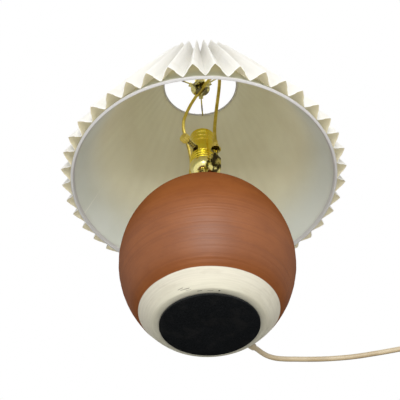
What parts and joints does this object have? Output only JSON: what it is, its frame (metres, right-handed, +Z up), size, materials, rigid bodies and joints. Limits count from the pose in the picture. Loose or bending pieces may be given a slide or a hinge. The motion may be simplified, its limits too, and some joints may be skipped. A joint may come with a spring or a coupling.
{
  "type": "table lamp",
  "caption": "Table lamp: terracotta ceramic ball base, brass turn-knob socket, wire harp, and a conical shade of a smooth liner under an accordion-pleated cover, with cord and plug.",
  "frame": {"origin": "on the table at the centre of the felted foot", "axes": "+Z up along the lamp's axis, -Y towards the camera's side, +X to the side the cord leaves"},
  "size_m": [0.5179, 0.3738, 0.4813],
  "materials": {
    "terracotta": "satin fired clay with wheel lines, stands in as matte plastic",
    "black_felt": "felt",
    "zinc_steel": "zinc plated",
    "polished_brass": "polished",
    "dark_brass": "polished, darker",
    "tan_brass": "satin",
    "phenolic": "moulded",
    "fibreboard": "fibre sleeve",
    "white_cloth": "pleated cloth",
    "white_trim": "rolled trim",
    "ivory_liner": "smooth styrene sheet",
    "enamelled_wire": "white enamel",
    "ivory_cord": "soft vinyl",
    "nickel": "nickel plated"
  },
  "bodies": {
    "base": {"ceramic_body": "terracotta", "felt_pad": "black_felt", "base_washer": "zinc_steel", "base_nut": "zinc_steel", "lamp_pipe": "zinc_steel", "vase_cap": "polished_brass", "neck": "polished_brass", "lock_nut": "polished_brass", "cord_bushing": "ivory_cord", "inner_cord": "ivory_cord", "socket_cap": "polished_brass", "socket_shell": "polished_brass", "insulating_sleeve": "fibreboard", "socket_interior": "phenolic", "screw_shell": "polished_brass", "centre_contact": "polished_brass", "set_screw": "polished_brass", "harp_saddle": "dark_brass", "cord_run": "ivory_cord", "cord_coil": "ivory_cord", "cord_tail": "ivory_cord", "cord_tie": "ivory_cord", "plug_relief": "ivory_cord", "plug_body": "ivory_cord", "plug_blade_1": "nickel", "plug_blade_2": "nickel"},
    "knob": {"knob_shaft": "tan_brass", "turn_knob": "tan_brass"},
    "harp": {"harp_wire": "tan_brass", "harp_stud": "dark_brass"},
    "ferrule_near": {"ferrule_near": "tan_brass"},
    "ferrule_far": {"ferrule_far": "tan_brass"},
    "shade": {"spider_hub": "dark_brass", "spider_arm_1": "dark_brass", "spider_arm_2": "dark_brass", "spider_arm_3": "dark_brass", "top_ring_wire": "enamelled_wire", "bottom_ring_wire": "enamelled_wire", "shade_liner": "ivory_liner", "top_trim": "white_trim", "bottom_trim": "white_trim", "pleated_cover": "white_cloth"},
    "finial": {"finial": "polished_brass"}
  },
  "joints": [
    {"name": "knob_turn", "type": "hinge", "parent": "base", "child": "knob", "pos_m": [0, 0, 0.29252], "axis": [-0.6157, -0.788, 0], "continuous": true},
    {"name": "harp_lift", "type": "slide", "parent": "base", "child": "harp", "axis": [0, 0, 1], "range_m": [0, 0.03]},
    {"name": "ferrule_near_slide", "type": "slide", "parent": "harp", "child": "ferrule_near", "axis": [0, 0, 1], "range_m": [0, 0.012]},
    {"name": "ferrule_far_slide", "type": "slide", "parent": "harp", "child": "ferrule_far", "axis": [0, 0, 1], "range_m": [0, 0.012]},
    {"name": "shade_turn", "type": "hinge", "parent": "harp", "child": "shade", "pos_m": [0, 0, 0.449], "axis": [0, 0, 1], "continuous": true},
    {"name": "finial_turn", "type": "hinge", "parent": "harp", "child": "finial", "pos_m": [0, 0, 0.455], "axis": [0, 0, 1], "continuous": true}
  ]
}
